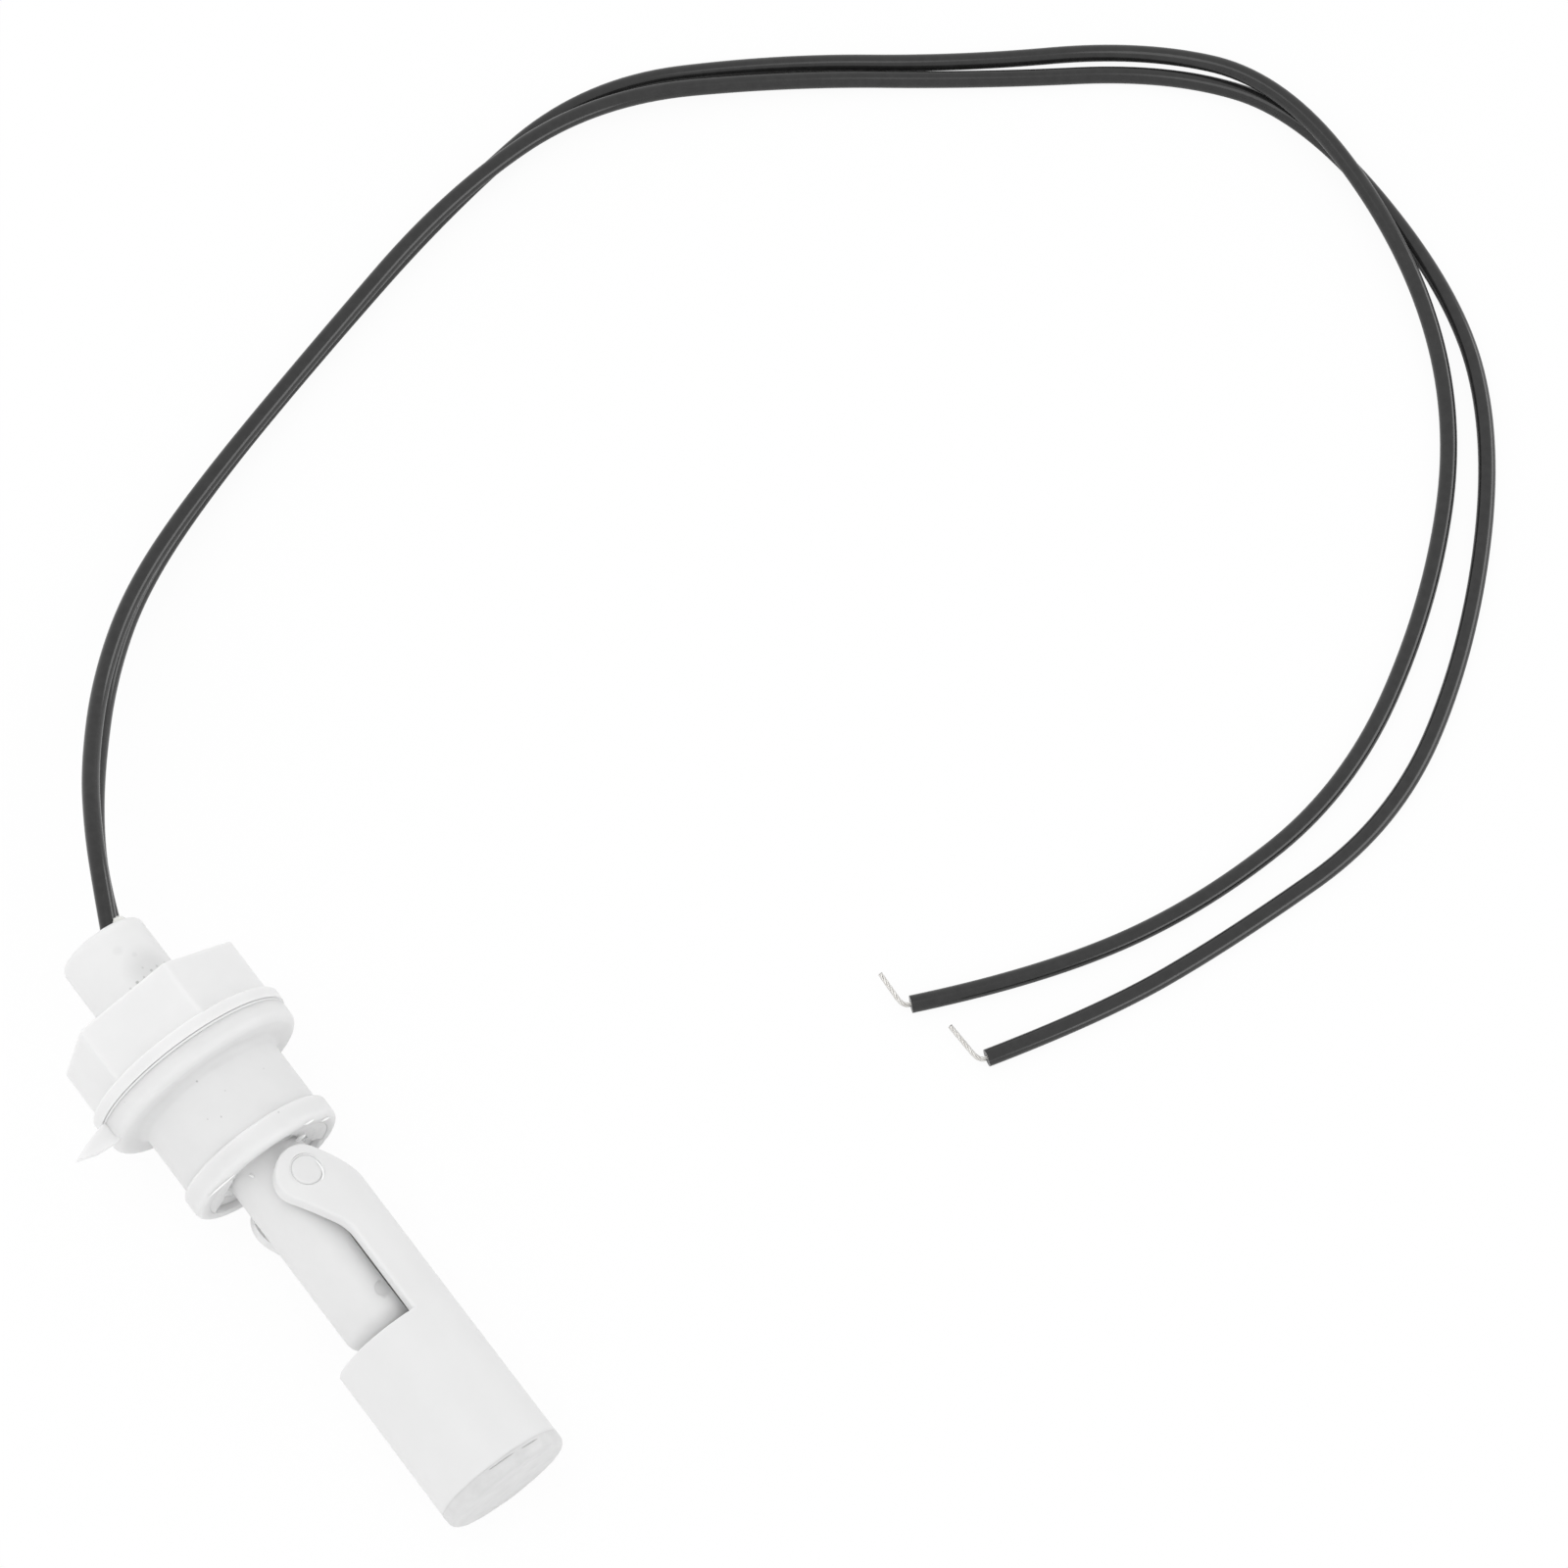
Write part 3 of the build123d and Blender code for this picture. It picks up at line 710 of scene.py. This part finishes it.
# %% [markdown]
# ## Stripped wire ends
# A tinned conductor is a bundle of fine strands that are twisted together: one in the
# middle and six round it. Each strand is a thin tube along a line that winds round the
# middle of the bundle. All points of a strand are worked out at once as one array.


# %% Tubes along lines
def frames_along(line):
    """Two directions square to a line at each of its points, without sudden twist."""
    ways = np.gradient(line, axis=0)
    ways /= np.linalg.norm(ways, axis=1, keepdims=True)
    first = np.cross(ways, (0.0, 0.0, 1.0))
    first /= np.linalg.norm(first, axis=1, keepdims=True)
    return first, np.cross(ways, first)


def tube_points(line, radius, sides):
    """A ring round each point of the line: the point plus radius times a circle."""
    first, second = [across[:, None] for across in frames_along(line)]
    turn = (np.arange(sides) * 2 * np.pi / sides)[None, :, None]
    circle = np.cos(turn) * first + np.sin(turn) * second
    return line[:, None] + np.asarray(radius).reshape(-1, 1, 1) * circle


def skin(name, rings, material, body, closed=False):
    """A mesh over rings of points, with its ends capped, or joined where closed."""
    rows, sides, _ = rings.shape
    index = np.arange(rows * sides).reshape(rows, sides)
    near, far = index[:-1], index[1:]
    if closed:
        near, far = index, np.roll(index, -1, axis=0)
    faces = np.stack([near, np.roll(near, -1, 1), np.roll(far, -1, 1), far], axis=-1)
    faces = faces.reshape(-1, 4).tolist()
    if not closed:
        faces += [index[0][::-1].tolist(), index[-1].tolist()]
    mesh = bpy.data.meshes.new(name)
    mesh.from_pydata(rings.reshape(-1, 3).tolist(), [], faces)
    shape = bmesh.new()
    shape.from_mesh(mesh)
    bmesh.ops.recalc_face_normals(shape, faces=shape.faces)
    shape.to_mesh(mesh)
    shape.free()
    mesh.materials.append(material)
    mesh.polygons.foreach_set("use_smooth", [True] * len(faces))
    piece = bpy.data.objects.new(name, mesh)
    bpy.context.collection.objects.link(piece)
    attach(piece, body)
    return piece


# %% Strands of a stripped end
STRIP_OUT, STRIP_IN = 1.0 * MM, 1.5 * MM
STRAND_R, STRAND_SIDES, STRAND_COUNT = 0.1 * MM, 8, 7
TWIST = 2 * np.pi / (4.5 * MM)
BEND_STEPS = 60
# Where the bend starts, as a share of STRIP_OUT, and ends, as a share of the last leg,
# and where the straight parts stop short of it, so that no two points fall together.
BEND_FROM, BEND_TO = 0.2, 0.25
LAST_BEFORE, FIRST_AFTER = 0.19, 0.27


def strands(name, node, points, tip):
    """Twisted strands from inside the wire's end, out and round a bend to the tip.

    Between its two straight stretches the line is a parabola: (1-t) squared times the
    bend's start, plus 2t(1-t) times the corner, plus t squared times the bend's end.
    The first strand follows the line, and the others wind round it, two strand radii
    away.
    """
    end, before = points[-1], points[-2]
    way = (end - before) / np.linalg.norm(end - before)
    corner = end + way * STRIP_OUT
    leg = np.array(tip) * MM
    t = np.linspace(0, 1, BEND_STEPS)[:, None]
    bend = (1 - t) ** 2 * (end + way * BEND_FROM * STRIP_OUT)
    bend = bend + 2 * t * (1 - t) * corner + t**2 * (corner + leg * BEND_TO)
    reach = STRIP_IN + LAST_BEFORE * STRIP_OUT
    inside = end - way * STRIP_IN + way * reach * t[::4]
    outside = corner + leg * (FIRST_AFTER + (1 - FIRST_AFTER) * t[::2])
    line = np.vstack([inside, bend, outside])
    step = np.linalg.norm(np.diff(line, axis=0), axis=1)
    run = np.concatenate([[0], np.cumsum(step)])
    first, second = frames_along(line)
    pieces = []
    for strand in range(STRAND_COUNT):
        away = 0.0 if strand == 0 else 2 * STRAND_R
        turn = (run * TWIST + strand * np.pi / 3)[:, None]
        offset = away * (np.cos(turn) * first + np.sin(turn) * second)
        tube = tube_points(line + offset, STRAND_R, STRAND_SIDES)
        pieces.append(skin(f"{name}_{strand}", tube, tinned_copper, "stem_body"))
    bundle = pieces[0]
    with bpy.context.temp_override(
        active_object=bundle, selected_editable_objects=pieces
    ):
        bpy.ops.object.join()
    bundle.name = name
    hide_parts(node)
    return bundle


strands_a = strands("bare_strands_a", "bare_end_a", points_a, (-5.7, 0, 0))
strands_b = strands("bare_strands_b", "bare_end_b", points_b, (-5.0, 0.4, 0))
print("points in a bare end:", len(strands_a.data.vertices))

# %% [markdown]
# ## Thin silicone and burrs
# The mould left its own traces. Thin silicone closes the groove behind the flange and
# hangs torn in the recess of the rib, and small burrs stand on the rib, the stem and
# the pin. A film is a sheet that follows the turn round the stem, a burr is a spindle
# along a short bent line, and a hoop is a ring of round section. All three are skins
# over rings of points. Light goes in only a tenth of a millimetre here, because a
# thin piece turns dark where it goes deeper.

# %% Materials and helpers of the fine pieces
# Near white, brighter than the plastic under them: the burrs are real flash and burrs,
# and their brightness is also a painted highlight, most of all on the burr by the pin.
burr_and_highlight_white = milky(
    "burr_and_highlight_white",
    grey(0.97),
    grey(0.96),
    drift_scale=400,
    rough=0.12,
    depth=0.1 * MM,
    grain=0.1,
)
film_milk = milky(
    "film_milk",
    grey(0.83),
    grey(0.78),
    drift_scale=500,
    rough=0.45,
    depth=0.1 * MM,
    grain=0.2,
)


def finish_piece(piece):
    """Keeps the piece's corners crisp."""
    split = piece.modifiers.new("crisp", "EDGE_SPLIT")
    split.split_angle = SHARP
    return piece


def waves(turn, counts, phases):
    """The mean of sine waves of these counts and phases round the turn."""
    return np.mean(
        [np.sin(count * turn + phase) for count, phase in zip(counts, phases)], axis=0
    )


# %% Torn film in the recess
FILM_EDGE, FILM_R, FILM_THICK, THINNER = 15.22 * MM, 8.45 * MM, 0.16 * MM, 0.5
FILM_STEPS, ACROSS_STEPS = 90, 14
FADE_POWER, FADE_EDGE = 0.3, 0.001
EDGE_WAVES, EDGE_SHARE = (9, 23, 41), 0.16
RIPPLE_WAVES, RIPPLE_HEIGHT, RIPPLE_SLANT = (11, 19, 31), 0.07 * MM, 1.5


def film(name, first, last, reach, sag, phases):
    """A sheet from the rib inwards, with u from 0 at the rib to 1 at the torn edge.

    Its radius falls by reach times u, and its s by sag times u squared. The reach fades
    to the sheet's two ends as a sine to a low power does, and waves make it ragged.
    """
    share = np.linspace(0, 1, FILM_STEPS)[:, None]
    turn = np.radians(first + (last - first) * share)
    u = np.linspace(0, 1, ACROSS_STEPS)[None, :]
    fade = np.sin(np.pi * np.clip(share, FADE_EDGE, 1 - FADE_EDGE)) ** FADE_POWER
    torn = 1 + EDGE_SHARE * waves(turn, EDGE_WAVES, phases)
    radius = FILM_R - reach * MM * fade * torn * u
    ripple = RIPPLE_HEIGHT * waves(turn + RIPPLE_SLANT * u, RIPPLE_WAVES, phases)
    front = FILM_EDGE - sag * MM * u**2 + ripple * u
    back = front - FILM_THICK * (1 - THINNER * u)
    s = np.hstack([front, back[:, ::-1]])
    r = np.hstack([radius, radius[:, ::-1]])
    rings = on_stem(s, r * np.cos(turn), r * np.sin(turn))
    rings = rings.reshape(FILM_STEPS, 2 * ACROSS_STEPS, 3)
    return finish_piece(skin(name, rings, film_milk, "stem_body"))


film("film_right", first=-8, last=80, reach=2.9, sag=0.30, phases=(0.4, 2.1, 5.0))
film("film_left", first=141, last=216, reach=2.9, sag=0.45, phases=(1.3, 4.2, 0.7))

# %% Film in the groove of the flange
HOOP_STEPS, HOOP_SIDES = 160, 12
ALONG_AXIS, HINGE_AXIS = 0, 2
GROOVE_S, GROOVE_R, GROOVE_FILL = 0.22 * MM, 12.9 * MM, 0.2 * MM


def hoop(name, middle, axis, radius, thick, material, body):
    """A closed ring of round section, square to the stem's direction of that number.

    Its points are the middle, plus radius times the way out, plus thick times a small
    circle between the way out and that direction.
    """
    across, upward = [STEM[i] for i in range(3) if i != axis]
    turn = np.linspace(0, 2 * np.pi, HOOP_STEPS, endpoint=False)[:, None, None]
    section = np.linspace(0, 2 * np.pi, HOOP_SIDES, endpoint=False)[None, :, None]
    outward = np.cos(turn) * across + np.sin(turn) * upward
    round_section = np.cos(section) * outward + np.sin(section) * STEM[axis]
    rings = on_stem(*middle)[0] + radius * outward + thick * round_section
    piece = skin(name, rings, material, body, closed=True)
    return piece


hoop(
    "flange_groove_film",
    (GROOVE_S, 0, 0),
    ALONG_AXIS,
    GROOVE_R,
    GROOVE_FILL,
    film_milk,
    "stem_body",
)

# %% Burrs, in millimetres
BURR_STEPS, BURR_SIDES, BLUNT = 24, 10, 0.01


def burr(name, places, radius, material, body):
    """A spindle on the bent line through three places.

    Its thickness is radius times the root of 1 minus x squared, where x runs from -1 at
    one end to 1 at the other.
    """
    start, middle, end = [on_stem(*[x * MM for x in place])[0] for place in places]
    t = np.linspace(0, 1, BURR_STEPS)[:, None]
    knee = 2 * middle - (start + end) / 2
    line = (1 - t) ** 2 * start + 2 * t * (1 - t) * knee + t**2 * end
    thick = radius * MM * np.sqrt(np.clip(1 - (2 * t - 1) ** 2, BLUNT, 1))
    rings = tube_points(line, thick, BURR_SIDES)
    return finish_piece(skin(name, rings, material, body))


RIB_BURRS = [
    ("rib_lip", [(15.15, -9.3, 2.7), (15.36, -8.35, 4.65), (15.36, -6.58, 6.2)], 0.13),
    ("recess_shred_a", [(15.3, 2.7, 4.6), (15.42, 3.3, 5.0), (15.35, 4.1, 5.0)], 0.22),
    ("recess_shred_b", [(15.25, 3.0, 8.7), (15.4, 3.5, 9.0), (15.3, 4.4, 8.8)], 0.12),
    ("recess_shred_c", [(15.25, 5.9, 6.3), (15.4, 6.6, 6.4), (15.3, 7.4, 6.0)], 0.16),
]
for name, places, radius in RIB_BURRS:
    burr(name, places, radius, burr_and_highlight_white, "stem_body")
STEM_BURR = [(15.5, -4.0, 3.25), (15.85, -3.85, 3.45), (16.2, -3.75, 3.5)]
STEM_BURR_R = 0.16
burr("stem_burr", STEM_BURR, STEM_BURR_R, burr_and_highlight_white, "stem_body")
print("two films, a filled groove and", len(RIB_BURRS) + 1, "burrs made")

# %% [markdown]
# ## The lump of resin
# A drop of the potting stands beside the wires in the mouth of the boss. It is a ball
# whose radius gets a few slow waves, so that its shine isn't a perfect round spot.

# %% Lump of resin beside the wires, in millimetres
LUMP_PLACE, LUMP_R, LUMP_WAVE = (-19.2, 2.5, 2.7), 0.85, 0.12
LUMP_ROWS, LUMP_SIDES, LUMP_POLE = 24, 32, 0.05
tilt = np.linspace(LUMP_POLE, np.pi - LUMP_POLE, LUMP_ROWS)[:, None]
lump_turn = np.linspace(0, 2 * np.pi, LUMP_SIDES, endpoint=False)[None, :]
lump_waves = waves(lump_turn + 2 * tilt, (2, 5, 9), (0.3, 1.7, 4.4))
uneven = LUMP_R * (1 + LUMP_WAVE * lump_waves)
lump = on_stem(
    (LUMP_PLACE[0] - uneven * np.cos(tilt)) * MM,
    (LUMP_PLACE[1] + uneven * np.sin(tilt) * np.cos(lump_turn)) * MM,
    (LUMP_PLACE[2] + uneven * np.sin(tilt) * np.sin(lump_turn)) * MM,
).reshape(LUMP_ROWS, LUMP_SIDES, 3)
finish_piece(skin("resin_lump", lump, potting_resin, "stem_body"))
print("lump of", lump.shape, "points")

# %% [markdown]
# ## The pin and the cap of the float
# Round the pin there is hardly a gap to see: a soft ring of the ear's own plastic fills
# it, with one burr of near-white plastic that is also a painted highlight, where the
# edge of the hole catches the light. The cap was welded on while soft, so its edge is
# rounder than a drawn one, wavy all round, and dented on one side. It is a profile
# carried round the stem, whose radius gets waves and a dent. Its skirt reaches a little
# way over the float, which closes the seam, and two thin dark lines stand for the parts
# of the seam that still show.

# %% Pin ring
PIN_GAP_R, PIN_FILL_R, PIN_FILL_H = 2.0 * MM, 0.13 * MM, 7.76 * MM
hoop(
    "pin_ring",
    (PIVOT_S, PIVOT_M, PIN_FILL_H),
    HINGE_AXIS,
    PIN_GAP_R,
    PIN_FILL_R,
    float_white,
    "float_body",
)
# A burr of near-white plastic beside the pin: a painted highlight where the edge of the
# hole catches the light.
PIN_HIGHLIGHT_BURR = [(19.35, 1.75, 7.98), (20.95, 1.7, 8.02), (21.9, 0.7, 8.12)]
PIN_HIGHLIGHT_BURR_R = 0.13
burr("pin_highlight_burr", PIN_HIGHLIGHT_BURR, PIN_HIGHLIGHT_BURR_R, burr_and_highlight_white, "float_body")
print("soft ring and burr of the pin made")

# %% Profile of the welded cap, in millimetres
CAP_SEAM, CAP_END, CAP_R, CAP_ROUND = 61.1, 62.6, 8.16, 0.85
SKIRT_S, SKIRT_IN = 60.7, 8.0
SPIGOT_OUT, SPIGOT_IN, SPIGOT_END, POLE_R = 6.88, 5.88, 59.5, 0.05
FACE_ROWS, SIDE_ROWS, ROW_GAP = 12, 9, 0.1
corner_turn = np.linspace(0, np.pi / 2, FACE_ROWS)
cap_s = np.concatenate(
    [
        np.full(FACE_ROWS, CAP_END),
        CAP_END - CAP_ROUND + CAP_ROUND * np.cos(corner_turn),
        np.linspace(CAP_END - CAP_ROUND - ROW_GAP, SKIRT_S, SIDE_ROWS),
        [SKIRT_S, CAP_SEAM, CAP_SEAM, SPIGOT_END, SPIGOT_END, CAP_SEAM, CAP_SEAM],
    ]
)
cap_r = np.concatenate(
    [
        np.linspace(POLE_R, CAP_R - CAP_ROUND - ROW_GAP, FACE_ROWS),
        CAP_R - CAP_ROUND + CAP_ROUND * np.sin(corner_turn),
        np.full(SIDE_ROWS, CAP_R),
        [SKIRT_IN, SKIRT_IN, SPIGOT_OUT, SPIGOT_OUT, SPIGOT_IN, SPIGOT_IN, POLE_R],
    ]
)

# %% Waves and dent of the welded cap, in millimetres
CAP_SIDES = 240
WAVY_FROM_R, WAVY_OVER_R, WAVY_OVER_S = 6.9, 1.2, 1.1
SIDE_WAVE, FACE_WAVE, LEAST_FACE = 0.04, 0.05, 0.01
DENT_DEPTH, DENT_TURN, DENT_WIDTH = 0.35, 194, 9
# The cap is darker than the float: partly its own mottled, scuffed plastic, and partly
# painted shade on its end, which faces away from the light.
cap_scuffs_and_shade = milky(
    "cap_scuffs_and_shade",
    grey(0.75),
    grey(0.65),
    drift_scale=420,
    rough=0.5,
    depth=0.2 * MM,
    grain=0.4,
)


def cap_rings(s, r):
    """The profile turned round the stem, with waves and a dent towards its outer edge.

    The radius loses a wave and a bell-shaped dent, and the face loses another wave.
    Both grow from nothing inside WAVY_FROM_R, and the radius's from the seam on.
    """
    turn = np.linspace(0, 2 * np.pi, CAP_SIDES, endpoint=False)[None, :]
    s, r = s[:, None], r[:, None]
    outer = np.clip((r - WAVY_FROM_R) / WAVY_OVER_R, 0, 1)
    past_seam = np.clip((s - CAP_SEAM) / WAVY_OVER_S, 0, 1)
    wavy = SIDE_WAVE * (waves(turn, (5, 11, 17, 29), (1.0, 2.2, 0.4, 3.0)) - 1)
    dent = -DENT_DEPTH * np.exp(-(((np.degrees(turn) - DENT_TURN) / DENT_WIDTH) ** 2))
    radius = r + outer * past_seam * (wavy + dent)
    face = s - FACE_WAVE * outer * (1 + waves(turn, (7, 13, 23), (0.2, 1.9, 4.0)))
    face = np.maximum(face, np.where(s > CAP_SEAM, CAP_SEAM + LEAST_FACE, 0))
    return on_stem(
        np.where(past_seam > 0, face, s) * MM,
        radius * MM * np.cos(turn),
        radius * MM * np.sin(turn),
    ).reshape(len(s), -1, 3)


cap = skin("welded_cap", cap_rings(cap_s, cap_r), cap_scuffs_and_shade, "float_body")
finish_piece(cap)
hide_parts("float_cap")
print("cap of", len(cap.data.vertices), "points")

# %% [markdown]
# ## Dark lines on the float
# What is left of the cap's seam, and the shadow under the half shell's straight edge,
# are too fine for the light to draw them. So each is painted shade: a very thin dark
# spindle that lies in its place and turns with the float.

# %% Painted shade of the seam and under the half shell's edge, in millimetres
seam_shade = milky(
    "seam_shade",
    grey(0.45),
    grey(0.4),
    drift_scale=500,
    rough=0.6,
    depth=0.2 * MM,
    grain=0.2,
)
painted_gap_shadow = milky(
    "painted_gap_shadow",
    grey(0.10),
    grey(0.08),
    drift_scale=500,
    rough=0.7,
    depth=0.05 * MM,
    grain=0.2,
)
SEAM_LEFT = [(61.0, -3.92, 7.16), (61.05, -2.21, 7.86), (61.1, -0.6, 8.14)]
SEAM_RIGHT = [(61.15, 0.5, 8.14), (61.15, 1.8, 7.95), (61.1, 3.11, 7.53)]
# Painted shadow under the half shell's straight edge.
SHELL_SHADOW_LINE = [(28.0, 0.37, 6.46), (34.0, 0.37, 6.46), (40.6, 0.37, 6.46)]
SEAM_R, SHADOW_LINE_R = 0.06, 0.09
for name, places, radius, material in (
    ("seam_left", SEAM_LEFT, SEAM_R, seam_shade),
    ("seam_right", SEAM_RIGHT, SEAM_R, seam_shade),
    ("shell_edge_shadow", SHELL_SHADOW_LINE, SHADOW_LINE_R, painted_gap_shadow),
):
    burr(name, places, radius, material, "float_body")
print("seam and gap lines made")
